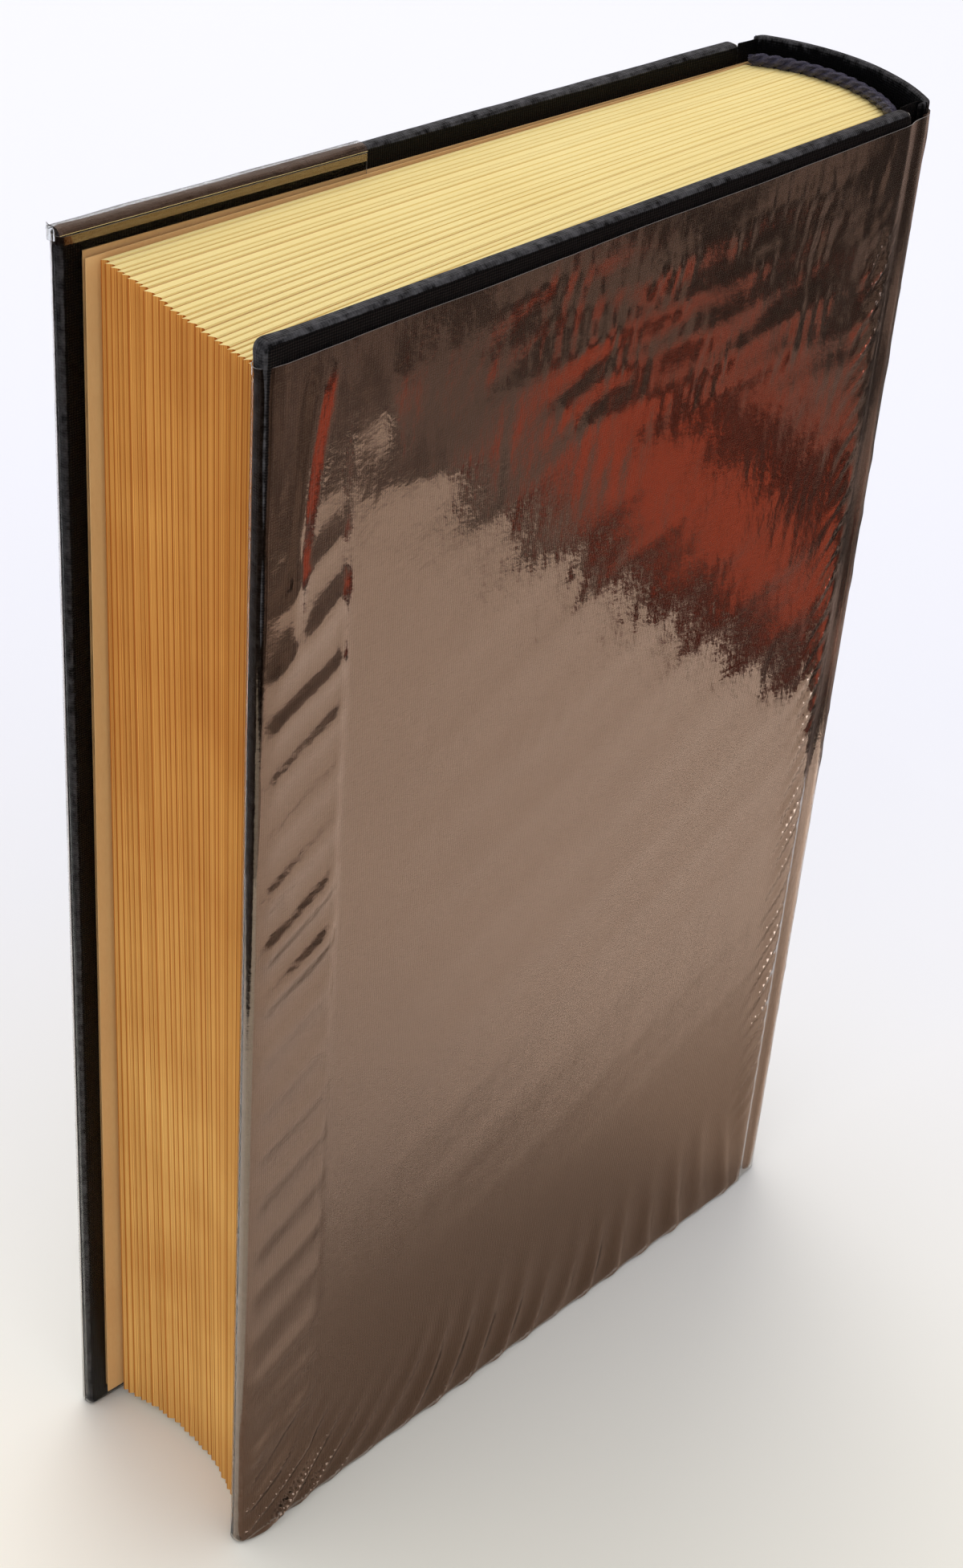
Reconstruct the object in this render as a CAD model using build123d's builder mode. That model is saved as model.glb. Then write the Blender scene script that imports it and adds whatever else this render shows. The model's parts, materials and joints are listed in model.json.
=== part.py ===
"""Hardback book standing on its tail, with a clear film jacket.

+Z runs from tail to head, +X from the spine to the fore-edge and +Y from the front
cover to the back cover. The origin is at the middle of the footprint, on the table.
Lengths are in millimetres.
"""
import os
from math import asin, cos, degrees, radians, sin

from build123d import *

os.makedirs("parts", exist_ok=True)

# ------------------------------------------------------------------ main sizes
BOOK_HEIGHT = 212.0          # covered boards, tail to head
COVER_WIDTH = 122.6          # covered board, joint to fore-edge
BLOCK_THICKNESS = 28.4       # all the leaves together, at the spine
SQUARE = 3.0                 # how far the boards stand past the leaves
JOINT_WIDTH = 5.2            # groove between the spine and a board

# sheet goods
BOARD = 1.9                  # greyboard
CLOTH = 0.25                 # book cloth
ENDPAPER = 0.15              # pastedown and flyleaf
STIFFENER = 0.6              # card inlay of the spine
LINING = 0.25                # gauze, and the paper over it
FILM = 0.2                   # clear jacket

# leaves
BACK_RISE = 5.4              # rounding of the block's back
GUTTER = 8.0                 # strip at the spine where the leaves lie tight
FANNING_HEAD = 2.8           # how far the front leaves spread at the fore-edge
FANNING_TAIL = 4.0
HOLLOW_HEAD = 1.2            # depth of the concave fore-edge
HOLLOW_TAIL = 4.4

# cover
OPEN_AT_REST = 2.55          # degrees that the front cover stands off the leaves
COVER_PLAY = 0.35            # air between a cover and the leaf next to it
HINGE_STANDOFF = 0.65        # hinge line outside the cloth's outer face
TURN_IN = 15.0               # cloth folded over on to a board's inner side
EDGE_ROUND = 0.75            # outer edges of a covered board
PASTE_MARGIN = 3.2           # pastedown's edge to the board's edge
SPINE_RISE = 5.3             # rounding of the spine
SPINE_TURN_IN = 12.0

# bands at the two ends of the back
BEAD_RADIUS = 1.0
BAND_TAPE = 11.0

# jacket
FLAP = 49.0                  # film turned in behind a board
FILM_TAIL = 0.6              # lower edge of the film above the table
FILM_HEAD = 210.2            # upper edge of the film at the spine
FILM_FALL = 1.5              # how much lower it lies at the back cover's fore-edge

# ------------------------------------------------------------- derived levels
BLOCK_TAIL = SQUARE
BLOCK_HEAD = BOOK_HEIGHT - SQUARE
HALF_BLOCK = BLOCK_THICKNESS / 2

# distances from a hinge line, measured across a cover (inwards is negative)
V_CLOTH = -HINGE_STANDOFF
V_FILM = V_CLOTH + FILM
V_BOARD_OUT = V_CLOTH - CLOTH
V_BOARD_IN = V_BOARD_OUT - BOARD
V_TURN_IN = V_BOARD_IN - CLOTH
V_PASTE = V_TURN_IN - ENDPAPER
V_FLAP = V_PASTE - FILM
V_GROOVE = V_BOARD_IN         # the groove is as deep as the board
V_LEAF = V_FLAP - COVER_PLAY
V_BLOCK = V_LEAF - ENDPAPER

# distances from a hinge line towards the fore-edge
U_EDGE = JOINT_WIDTH / 2
U_FORE = U_EDGE + COVER_WIDTH
U_FLAP = U_FORE - FLAP
JOINT_GAP = 0.3              # half the slit where cloth and film meet at a hinge

# in plan: x from the spine's shoulders, y from the middle of the leaves
SHOULDER_Y = HALF_BLOCK - V_BLOCK + V_CLOTH - 0.45
HINGE_Y = HALF_BLOCK - V_BLOCK
BLOCK_SHOULDER = JOINT_WIDTH + 0.2
BOARD_FORE = U_EDGE + U_FORE
LEAF_FORE = BOARD_FORE - SQUARE

# the origin goes to the middle of the footprint
REST = radians(OPEN_AT_REST)
SWUNG_OUT = (U_FORE + FILM) * sin(REST) + V_FILM * cos(REST)
X0 = -(BOARD_FORE + FILM - SPINE_RISE - FILM) / 2
Y0 = -((HINGE_Y + V_FILM) - (HINGE_Y + SWUNG_OUT)) / 2
HINGE_X = X0 + U_EDGE
FRONT_HINGE_Y = Y0 - HINGE_Y
BACK_HINGE_Y = Y0 + HINGE_Y


def level(z):
    """Plan of the leaves and the spine at height z."""
    return Plane(origin=(X0, Y0, z), x_dir=(1, 0, 0), z_dir=(0, 0, 1))


def cover_plan(side, low, high):
    """Plan of a cover between two heights, from its hinge line: u to the fore-edge, v outwards."""
    if side == "back":
        return Plane(origin=(HINGE_X, BACK_HINGE_Y, low), x_dir=(1, 0, 0), z_dir=(0, 0, 1))
    swing = (cos(REST), -sin(REST), 0)
    return Plane(origin=(HINGE_X, FRONT_HINGE_Y, high), x_dir=swing, z_dir=(0, 0, -1))


def oblong(u0, u1, v0, v1):
    """Rectangle between two corners, in the sketch that is open."""
    with Locations(((u0 + u1) / 2, (v0 + v1) / 2)):
        Rectangle(u1 - u0, v1 - v0)


def leaf_outline(fanning, hollow):
    """Plan of the leaves: round back, tight gutter, front leaves fanned, hollow fore-edge."""
    front_corner = (LEAF_FORE - 0.6, -HALF_BLOCK - fanning)
    back_corner = (LEAF_FORE, HALF_BLOCK)
    middle = (LEAF_FORE - 0.3 - hollow, -fanning / 2)
    with BuildLine() as outline:
        ThreePointArc((BLOCK_SHOULDER, HALF_BLOCK), (BLOCK_SHOULDER - BACK_RISE, 0), (BLOCK_SHOULDER, -HALF_BLOCK))
        Line((BLOCK_SHOULDER, -HALF_BLOCK), (BLOCK_SHOULDER + GUTTER, -HALF_BLOCK))
        Line((BLOCK_SHOULDER + GUTTER, -HALF_BLOCK), front_corner)
        ThreePointArc(front_corner, middle, back_corner)
        Line(back_corner, (BLOCK_SHOULDER, HALF_BLOCK))
    make_face(outline.edges())


def back_band(offset, thickness, inset):
    """Band concentric with the block's back, as far out as offset, ending inset short of the shoulders."""
    half_angle = degrees(asin((HALF_BLOCK - inset) / BACK_RADIUS))
    centre = (BLOCK_SHOULDER - BACK_RISE + BACK_RADIUS, 0)
    with BuildLine() as outline:
        outer = CenterArc(centre, BACK_RADIUS + offset + thickness, 180 - half_angle, 2 * half_angle)
        inner = CenterArc(centre, BACK_RADIUS + offset, 180 - half_angle, 2 * half_angle)
        Line(outer @ 0, inner @ 0)
        Line(outer @ 1, inner @ 1)
    make_face(outline.edges())


def spine_band(depth, thickness, inset):
    """Band concentric with the spine, depth below its outer face, ending inset short of the shoulders."""
    half_angle = degrees(asin((SHOULDER_Y - inset) / SPINE_RADIUS))
    centre = (SPINE_RADIUS - SPINE_RISE, 0)
    with BuildLine() as outline:
        outer = CenterArc(centre, SPINE_RADIUS - depth, 180 - half_angle, 2 * half_angle)
        inner = CenterArc(centre, SPINE_RADIUS - depth - thickness, 180 - half_angle, 2 * half_angle)
        Line(outer @ 0, inner @ 0)
        Line(outer @ 1, inner @ 1)
    make_face(outline.edges())


BACK_RADIUS = (HALF_BLOCK**2 + BACK_RISE**2) / (2 * BACK_RISE)
SPINE_RADIUS = (SHOULDER_Y**2 + SPINE_RISE**2) / (2 * SPINE_RISE)

# ------------------------------------------------------------------ text block
# The sewn leaves are one solid. Standing upright they sag forward, so the hollow of
# the fore-edge is deeper at the tail than at the head.
with BuildPart() as text_block:
    with BuildSketch(level(BLOCK_TAIL)):
        leaf_outline(FANNING_TAIL, HOLLOW_TAIL)
    with BuildSketch(level(BLOCK_HEAD)):
        leaf_outline(FANNING_HEAD, HOLLOW_HEAD)
    loft(ruled=True)
text_block.part.label = "text_block"
export_step(text_block.part, "parts/text_block.step")

# --------------------------------------------------------------------- endpapers
# Each endpaper is one folded sheet: half is pasted to the board, half is the flyleaf.
# The front flyleaf leans out after the cover.
with BuildPart() as front_flyleaf:
    lean = (U_FORE - SQUARE - U_EDGE) * sin(REST) - 0.1
    inner = [
        (BLOCK_SHOULDER + 0.2, -HALF_BLOCK),
        (BLOCK_SHOULDER + GUTTER, -HALF_BLOCK),
        (LEAF_FORE, -HALF_BLOCK - lean),
    ]
    outer = [(x, y - ENDPAPER) for x, y in reversed(inner)]
    with BuildSketch(level(BLOCK_TAIL)):
        with BuildLine():
            Polyline(*inner, *outer, close=True)
        make_face()
    extrude(amount=BLOCK_HEAD - BLOCK_TAIL)
front_flyleaf.part.label = "front_flyleaf"
export_step(front_flyleaf.part, "parts/front_flyleaf.step")

with BuildPart() as back_flyleaf:
    with BuildSketch(level(BLOCK_TAIL)):
        oblong(BLOCK_SHOULDER + 0.2, LEAF_FORE, HALF_BLOCK, HALF_BLOCK + ENDPAPER)
    extrude(amount=BLOCK_HEAD - BLOCK_TAIL)
back_flyleaf.part.label = "back_flyleaf"
export_step(back_flyleaf.part, "parts/back_flyleaf.step")

# --------------------------------------------------------- linings of the back
with BuildPart() as spine_gauze:
    with BuildSketch(level(BLOCK_TAIL + BAND_TAPE + 2)):
        back_band(0, LINING, 0.3)
    extrude(amount=BLOCK_HEAD - BLOCK_TAIL - 2 * BAND_TAPE - 4)
spine_gauze.part.label = "spine_gauze"
export_step(spine_gauze.part, "parts/spine_gauze.step")

with BuildPart() as spine_lining:
    with BuildSketch(level(BLOCK_TAIL + 3)):
        back_band(LINING, LINING, 0.6)
    extrude(amount=BLOCK_HEAD - BLOCK_TAIL - 6)
spine_lining.part.label = "spine_lining"
export_step(spine_lining.part, "parts/spine_lining.step")

# A band is a tape glued to the back with a round bead standing on the leaves' ends.
band_angle = degrees(asin((HALF_BLOCK - 0.4) / BACK_RADIUS))
band_centre = (BLOCK_SHOULDER - BACK_RISE + BACK_RADIUS, 0)
for name, outward, end in (("head_band", 1, BLOCK_HEAD), ("tail_band", -1, BLOCK_TAIL)):
    bead_z = end + outward * (BEAD_RADIUS + 0.05)
    tape_z = end - BAND_TAPE if outward > 0 else end - BEAD_RADIUS
    with BuildPart() as band:
        with BuildSketch(level(tape_z)):
            back_band(0, LINING, 0.4)
        extrude(amount=BAND_TAPE + BEAD_RADIUS)
        with BuildLine(level(bead_z)) as bead_line:
            CenterArc(band_centre, BACK_RADIUS + 0.1, 180 - band_angle, 2 * band_angle)
        start = bead_line.line @ 0
        along = bead_line.line % 0
        with BuildSketch(Plane(origin=start, z_dir=along)):
            Circle(BEAD_RADIUS)
        sweep(path=bead_line.line)
    band.part.label = name
    export_step(band.part, f"parts/{name}.step")

# ------------------------------------------------------------------------ spine
with BuildPart() as spine_stiffener:
    with BuildSketch(level(CLOTH)):
        spine_band(CLOTH, STIFFENER, 1.4)
    extrude(amount=BOOK_HEIGHT - 2 * CLOTH)
spine_stiffener.part.label = "spine_stiffener"
export_step(spine_stiffener.part, "parts/spine_stiffener.step")

# The cloth goes over the stiffener, folds in at head and tail, and dips into the
# groove on both sides, where it meets the cloth of the covers.
groove_y = HINGE_Y + V_GROOVE
groove_end = U_EDGE - JOINT_GAP
with BuildPart() as spine_cloth:
    with BuildSketch(level(0)):
        with BuildLine():
            Polyline((groove_end, -groove_y), (0.9, -groove_y), (0, -SHOULDER_Y))
            ThreePointArc((0, -SHOULDER_Y), (-SPINE_RISE, 0), (0, SHOULDER_Y))
            Polyline((0, SHOULDER_Y), (0.9, groove_y), (groove_end, groove_y))
            offset(amount=CLOTH, side=Side.RIGHT)
        make_face()
    extrude(amount=BOOK_HEIGHT)
    for low in (0, BOOK_HEIGHT - SPINE_TURN_IN):
        with BuildSketch(level(low)):
            spine_band(CLOTH + STIFFENER, CLOTH, 1.8)
        extrude(amount=SPINE_TURN_IN)
    for low in (0, BOOK_HEIGHT - CLOTH):
        with BuildSketch(level(low)):
            spine_band(CLOTH / 2, STIFFENER + CLOTH, 1.8)
        extrude(amount=CLOTH)
spine_cloth.part.label = "spine_cloth"
export_step(spine_cloth.part, "parts/spine_cloth.step")

# ----------------------------------------------------------------------- covers
for side in ("front", "back"):
    with BuildPart() as board:
        with BuildSketch(cover_plan(side, CLOTH, BOOK_HEIGHT - CLOTH)):
            oblong(U_EDGE + CLOTH, U_FORE - CLOTH, V_BOARD_IN, V_BOARD_OUT)
        extrude(amount=BOOK_HEIGHT - 2 * CLOTH)
        fillet(board.edges(), EDGE_ROUND - CLOTH)
    board.part.label = f"{side}_board"
    export_step(board.part, f"parts/{side}_board.step")

    # cloth drawn over the outer face and turned in along head, tail and fore-edge
    with BuildPart() as cloth:
        with BuildSketch(cover_plan(side, 0, BOOK_HEIGHT)):
            oblong(U_EDGE, U_FORE, V_TURN_IN, V_CLOTH)
        extrude(amount=BOOK_HEIGHT)
        fillet(cloth.edges(), EDGE_ROUND)
        with BuildSketch(cover_plan(side, 0, BOOK_HEIGHT)):
            oblong(JOINT_GAP, U_EDGE + EDGE_ROUND, V_GROOVE - CLOTH, V_GROOVE)
        extrude(amount=BOOK_HEIGHT)
        add(board.part, mode=Mode.SUBTRACT)
        with BuildSketch(cover_plan(side, TURN_IN, BOOK_HEIGHT - TURN_IN)):
            oblong(U_EDGE + EDGE_ROUND, U_FORE - TURN_IN, V_TURN_IN, V_BOARD_IN)
        extrude(amount=BOOK_HEIGHT - 2 * TURN_IN, mode=Mode.SUBTRACT)
    cloth.part.label = f"{side}_cover_cloth"
    export_step(cloth.part, f"parts/{side}_cover_cloth.step")

    # the pastedown fills the window between the turn-ins and laps over them
    paste_height = BOOK_HEIGHT - 2 * PASTE_MARGIN
    with BuildPart() as pastedown:
        with BuildSketch(cover_plan(side, PASTE_MARGIN, BOOK_HEIGHT - PASTE_MARGIN)):
            oblong(U_EDGE + 1.0, U_FORE - PASTE_MARGIN, V_PASTE, V_TURN_IN)
        extrude(amount=paste_height)
        with BuildSketch(cover_plan(side, TURN_IN + 0.5, BOOK_HEIGHT - TURN_IN - 0.5)):
            oblong(U_EDGE + 1.0, U_FORE - TURN_IN - 0.5, V_TURN_IN, V_BOARD_IN)
        extrude(amount=BOOK_HEIGHT - 2 * TURN_IN - 1.0)
    pastedown.part.label = f"{side}_pastedown"
    export_step(pastedown.part, f"parts/{side}_pastedown.step")

# ------------------------------------------------------------------ film jacket
# Over the spine the film lies on the cloth and bridges the first half of each groove.
film_y = HINGE_Y + V_CLOTH
with BuildPart() as jacket_spine:
    with BuildSketch(level(FILM_TAIL)):
        with BuildLine():
            Polyline((groove_end, -film_y), (0.8, -film_y), (0, -SHOULDER_Y))
            ThreePointArc((0, -SHOULDER_Y), (-SPINE_RISE, 0), (0, SHOULDER_Y))
            Polyline((0, SHOULDER_Y), (0.8, film_y), (groove_end, film_y))
            offset(amount=FILM, side=Side.LEFT)
        make_face()
    extrude(amount=FILM_HEAD - FILM_TAIL)
jacket_spine.part.label = "jacket_spine"
export_step(jacket_spine.part, "parts/jacket_spine.step")

# The front flap is welded shut along the head, so it holds the board's corner.
with BuildPart() as jacket_front:
    with BuildSketch(cover_plan("front", FILM_TAIL, BOOK_HEIGHT + FILM)):
        oblong(U_FLAP, U_FORE + FILM, V_FLAP, V_FILM)
    extrude(amount=BOOK_HEIGHT + FILM - FILM_TAIL)
    with BuildSketch(cover_plan("front", FILM_TAIL, BOOK_HEIGHT)):
        oblong(U_FLAP, U_FORE, V_PASTE, V_CLOTH)
    extrude(amount=BOOK_HEIGHT - FILM_TAIL, mode=Mode.SUBTRACT)
    with BuildSketch(cover_plan("front", FILM_TAIL, FILM_HEAD)):
        oblong(JOINT_GAP, U_FLAP, V_CLOTH, V_FILM)
    extrude(amount=FILM_HEAD - FILM_TAIL)
jacket_front.part.label = "jacket_front"
export_step(jacket_front.part, "parts/jacket_front.step")

# The back flap is open at the head, and the film's upper edge falls to the fore-edge.
with BuildPart() as jacket_back:
    with BuildSketch(cover_plan("back", FILM_TAIL, FILM_HEAD)):
        oblong(JOINT_GAP, U_FORE + FILM, V_CLOTH, V_FILM)
        oblong(U_FORE, U_FORE + FILM, V_FLAP, V_FILM)
        oblong(U_FLAP, U_FORE + FILM, V_FLAP, V_PASTE)
    extrude(amount=FILM_HEAD - FILM_TAIL)
    upper_edge = Plane(origin=(HINGE_X, 0, FILM_HEAD), z_dir=(FILM_FALL, 0, U_FORE))
    split(bisect_by=upper_edge, keep=Keep.BOTTOM)
jacket_back.part.label = "jacket_back"
export_step(jacket_back.part, "parts/jacket_back.step")

print("hinges", [round(v, 3) for v in (HINGE_X, FRONT_HINGE_Y, BACK_HINGE_Y)])
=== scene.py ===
# %% [markdown]
# # A hardback book in a clear film jacket
# The construction model of the book is already there: it says how large each piece is and
# which pieces swing with which cover. This lesson gives each piece its looks: leaves that
# stand in sewn sections, black book cloth, a twisted headband and a creased clear jacket.
# The first cell loads that model and reads its hinge lines.

# %% Load the frame
import json
from math import asin, cos, pi, radians, sin

import bmesh
import bpy
import numpy as np
from mathutils import Matrix, Vector


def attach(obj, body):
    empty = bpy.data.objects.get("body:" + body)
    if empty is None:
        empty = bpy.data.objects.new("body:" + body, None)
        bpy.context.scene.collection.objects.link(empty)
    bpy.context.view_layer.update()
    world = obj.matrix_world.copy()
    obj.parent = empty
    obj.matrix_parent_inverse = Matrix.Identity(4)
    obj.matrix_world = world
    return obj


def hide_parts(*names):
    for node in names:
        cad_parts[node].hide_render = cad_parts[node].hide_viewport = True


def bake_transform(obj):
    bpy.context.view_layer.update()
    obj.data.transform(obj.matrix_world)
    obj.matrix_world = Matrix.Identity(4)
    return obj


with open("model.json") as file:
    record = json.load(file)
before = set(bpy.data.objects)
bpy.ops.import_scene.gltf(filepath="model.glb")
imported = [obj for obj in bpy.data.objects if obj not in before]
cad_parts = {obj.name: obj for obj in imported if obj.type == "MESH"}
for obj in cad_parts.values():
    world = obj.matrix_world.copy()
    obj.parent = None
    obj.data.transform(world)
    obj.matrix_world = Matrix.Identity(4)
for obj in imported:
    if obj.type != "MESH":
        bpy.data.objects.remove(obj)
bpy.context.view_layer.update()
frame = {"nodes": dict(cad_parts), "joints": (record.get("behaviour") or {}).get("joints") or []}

MM = 0.001
hinges = {j["child"]: [c / MM for c in j["pos_m"][:2]] for j in frame["joints"]}
print("hinge lines in mm", hinges)

# %% [markdown]
# The camera stands where a person at the table would stand, looking down over the near
# corner of the fore-edge. It is slightly rolled, and the frame is shifted a little, because
# the book isn't quite in the middle of the view.

# %% Camera
AZIMUTH, ELEVATION, ROLL = radians(131.06), radians(34.18), radians(5.41)
back = Vector((sin(AZIMUTH) * cos(ELEVATION), -cos(AZIMUTH) * cos(ELEVATION), sin(ELEVATION)))
right = (-back).cross(Vector((0, 0, 1))).normalized()
up = right.cross(-back)
across = cos(ROLL) * right + sin(ROLL) * up
upright = -sin(ROLL) * right + cos(ROLL) * up
camera = bpy.data.objects.new("camera", bpy.data.cameras.new("camera"))
bpy.context.scene.collection.objects.link(camera)
camera.matrix_world = Matrix((across, upright, back)).transposed().to_4x4()
camera.location = (0.2473, 0.2244, 0.3490)
camera.data.lens = 60.48
camera.data.shift_x, camera.data.shift_y = -0.0375, -0.0466
camera.data.clip_start, camera.data.clip_end = 0.01, 50
bpy.context.scene.camera = camera
bpy.context.scene.view_settings.view_transform = "Standard"
print("camera", round(camera.location.length, 3), "m from the middle of the book's foot")

# %% [markdown]
# Sizes of the book in millimetres. A bookbinder thinks in "plan": x from the spine's
# shoulders to the fore-edge, y through the thickness, z from tail to head. A cover has its
# own pair, u from the hinge line to the fore-edge and v outwards, so that the same shape
# serves for the cover that stands a little open and for the closed one. The names that
# start with U_ and V_ are places on that pair: the board's two edges, the flap's end, and
# the levels of cloth, film, turned-in cloth and pastedown.

# %% Sizes and two ways of placing a point
HEIGHT, SQUARE = 212.0, 3.0
PAPER, CLOTH, FILM = 0.15, 0.25, 0.12
HALF_BLOCK, SHOULDER_Y = 14.2, 17.0
BACK_RADIUS, BACK_RISE, SHOULDER_X = 21.37, 5.4, 5.4
SPINE_RADIUS, SPINE_RISE = 29.91, 5.3
U_EDGE, U_FORE, U_FLAP = 2.6, 125.2, 76.2
V_CLOTH, V_FILM, V_TURN_IN, V_PASTE = -0.65, -0.45, -3.05, -3.2
PLAN_X = hinges["back_cover"][0] - U_EDGE
PLAN_Y = (hinges["front_cover"][1] + hinges["back_cover"][1]) / 2
OPEN_AT_REST = radians(2.55)


def on_block(x, y, z):
    """Plan coordinates in millimetres to metres in the book's frame."""
    x, y, z = np.broadcast_arrays(x, y, z)
    return np.stack([x + PLAN_X, y + PLAN_Y, z], -1) * MM


def on_cover(side, u, v, z):
    """A cover's own coordinates in millimetres to metres in the book's frame."""
    u, v, z = np.broadcast_arrays(u, v, z)
    hx, hy = hinges[f"{side}_cover"]
    if side == "back":
        return np.stack([hx + u, hy + v, z], -1) * MM
    c, s = cos(OPEN_AT_REST), sin(OPEN_AT_REST)
    return np.stack([hx + u * c - v * s, hy - u * s - v * c, z], -1) * MM


print("plan origin in the book's frame, mm:", round(PLAN_X, 2), round(PLAN_Y, 2))

# %% [markdown]
# Nothing on a used book is ruled. A little soft noise, read from a seeded table, moves edges
# and sheets by tenths of a millimetre, and a smooth step fades a shape in or out.

# %% Soft noise and smooth steps
def soft_noise(a, b, size, seed):
    """Smooth noise from -1 to 1 over two coordinates, with features about size across."""
    table = np.random.default_rng(seed).uniform(-1, 1, (64, 64))
    a, b = np.broadcast_arrays(np.asarray(a, float) / size + 31.7, np.asarray(b, float) / size + 17.3)
    i, j = np.floor(a).astype(int), np.floor(b).astype(int)
    s, t = a - i, b - j
    s, t = s * s * (3 - 2 * s), t * t * (3 - 2 * t)

    def corner(di, dj):
        """The table's values at one corner of every cell."""
        return table[(i + di) % 64, (j + dj) % 64]

    return (corner(0, 0) * (1 - s) * (1 - t) + corner(1, 0) * s * (1 - t)
            + corner(0, 1) * (1 - s) * t + corner(1, 1) * s * t)


def smooth_step(x, low, high):
    """0 below low, 1 above high, and an even curve between; low may be the larger one."""
    t = np.clip((np.asarray(x, float) - low) / (high - low), 0, 1)
    return t * t * (3 - 2 * t)


print("noise at three places:", np.round(soft_noise([0, 5, 10], 0, 10, 1), 2))

# %% [markdown]
# Most of a book is sheet material, so one tool makes nearly all of it: a grid of points for
# the outer face, a second grid for the inner face, and a rim round them. That gives closed,
# clean shells of the right thickness, which a single surface with no thickness can't give.

# %% Tools for making pieces
def make_piece(name, points, faces, finishes, face_finish=None, sharp=35):
    """Mesh object from points in metres, smooth but for edges sharper than so many degrees."""
    mesh = bpy.data.meshes.new(name)
    mesh.from_pydata(np.asarray(points, float).reshape(-1, 3).tolist(), [], faces)
    for finish in finishes if isinstance(finishes, list) else [finishes]:
        mesh.materials.append(finish)
    if face_finish is not None:
        mesh.polygons.foreach_set("material_index", np.asarray(face_finish, np.int32))
    mesh.shade_smooth()
    mesh.set_sharp_from_angle(angle=radians(sharp))
    piece = bpy.data.objects.new(name, mesh)
    bpy.context.scene.collection.objects.link(piece)
    return piece


def grid_faces(rows, columns, start=0, flip=False):
    """Four-sided faces of a grid of points, counted from start."""
    i, j = np.meshgrid(np.arange(rows - 1), np.arange(columns - 1), indexing="ij")
    a = (start + i * columns + j).ravel()
    quads = np.stack([a, a + columns, a + columns + 1, a + 1], -1)
    return (quads[:, ::-1] if flip else quads).tolist()


def shell(outer, inner, start=0):
    """Points and faces of a thin closed sheet between two grids of the same shape."""
    rows, columns = outer.shape[:2]
    count = rows * columns
    points = np.concatenate([outer.reshape(-1, 3), inner.reshape(-1, 3)])
    faces = grid_faces(rows, columns, start) + grid_faces(rows, columns, start + count, flip=True)
    index = start + np.arange(count).reshape(rows, columns)
    rim = np.concatenate([index[0, :], index[1:, -1], index[-1, -2::-1], index[-2:0:-1, 0]])
    following = np.roll(rim, -1)
    faces += np.stack([rim, following, following + count, rim + count], -1).tolist()
    return points, faces


def gather(parts):
    """Several (points, faces) lists as one."""
    points, faces, start = [], [], 0
    for p, f in parts:
        points.append(p.reshape(-1, 3))
        faces += [[k + start for k in face] for face in f]
        start += len(points[-1])
    return np.concatenate(points), faces


def outward(piece):
    """Turns every face to point out of its own closed shell."""
    work = bmesh.new()
    work.from_mesh(piece.data)
    bmesh.ops.recalc_face_normals(work, faces=work.faces)
    work.to_mesh(piece.data)
    work.free()
    return piece


def keep_number(piece, name, values):
    """Stores one number per point, which a finish can read by its name."""
    layer = piece.data.attributes.new(name, "FLOAT", "POINT")
    layer.data.foreach_set("value", np.asarray(values, np.float32))


print("a sheet of 2 by 2 points makes a shell of", len(shell(*np.zeros((2, 2, 2, 3)))[1]), "faces")

# %% [markdown]
# Finishes come next. Each is one Principled shader with procedural nodes for what varies.
# Short helpers keep them readable: they make the material, add a node with its inputs
# joined, and give noise, a ramp between two colours or fine relief in one line each.

# %% Helpers for finishes
def new_finish(name, colour, roughness, **constants):
    """A material and its shader; constants set sockets that are the same all over."""
    material = bpy.data.materials.new(name)
    material.use_nodes = True
    shader = material.node_tree.nodes["Principled BSDF"]
    shader.inputs["Base Color"].default_value = (*colour, 1)
    shader.inputs["Roughness"].default_value = roughness
    for socket, value in constants.items():
        shader.inputs[socket.replace("_", " ")].default_value = value
    return material, shader


def add(material, kind, inputs=(), **settings):
    """Adds a node; inputs maps a socket's name or number to a value or to another output."""
    tree = material.node_tree
    node = tree.nodes.new(kind)
    for key, value in settings.items():
        setattr(node, key, value)
    for key, value in dict(inputs).items():
        if isinstance(value, bpy.types.NodeSocket):
            tree.links.new(value, node.inputs[key])
        else:
            node.inputs[key].default_value = value
    return node


def sums(material, operation, *values):
    """The result of a Math node on numbers or outputs."""
    return add(material, "ShaderNodeMath", dict(enumerate(values)), operation=operation).outputs[0]


def stretched(material, scale):
    """The piece's own coordinates in metres, stretched per axis."""
    place = add(material, "ShaderNodeTexCoord").outputs["Object"]
    return add(material, "ShaderNodeMapping", {"Vector": place, "Scale": scale}).outputs[0]


def noise(material, vector, scale, detail=3.0, rough=0.55):
    """Noise in space, with scale features to the metre."""
    inputs = {"Vector": vector, "Scale": scale, "Detail": detail, "Roughness": rough}
    return add(material, "ShaderNodeTexNoise", inputs).outputs["Fac"]


def line_noise(material, number, scale):
    """Noise along one number, such as the count of leaves."""
    inputs = {"W": number, "Scale": scale, "Detail": 2.0}
    return add(material, "ShaderNodeTexNoise", inputs, noise_dimensions="1D").outputs["Fac"]


def kept_number(material, name):
    """A number that the mesh keeps for each of its points."""
    return add(material, "ShaderNodeAttribute", attribute_name=name).outputs["Fac"]


def blend_colour(material, share, first, second):
    """The first colour where share is low, the second where it is high."""
    ramp = add(material, "ShaderNodeValToRGB", {0: share})
    ramp.color_ramp.elements[0].color = (*first, 1)
    ramp.color_ramp.elements[1].color = (*second, 1)
    ramp.color_ramp.elements[0].position, ramp.color_ramp.elements[1].position = 0.3, 0.7
    return ramp.outputs[0]


def join(material, output, shader, socket):
    """Joins an output to a socket of the shader."""
    material.node_tree.links.new(output, shader.inputs[socket])


def bump(material, shader, height, distance):
    """Fine relief, where a height of 1 stands so many metres proud."""
    node = add(material, "ShaderNodeBump", {"Height": height, "Distance": distance, "Strength": 1.0})
    join(material, node.outputs[0], shader, "Normal")


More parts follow.
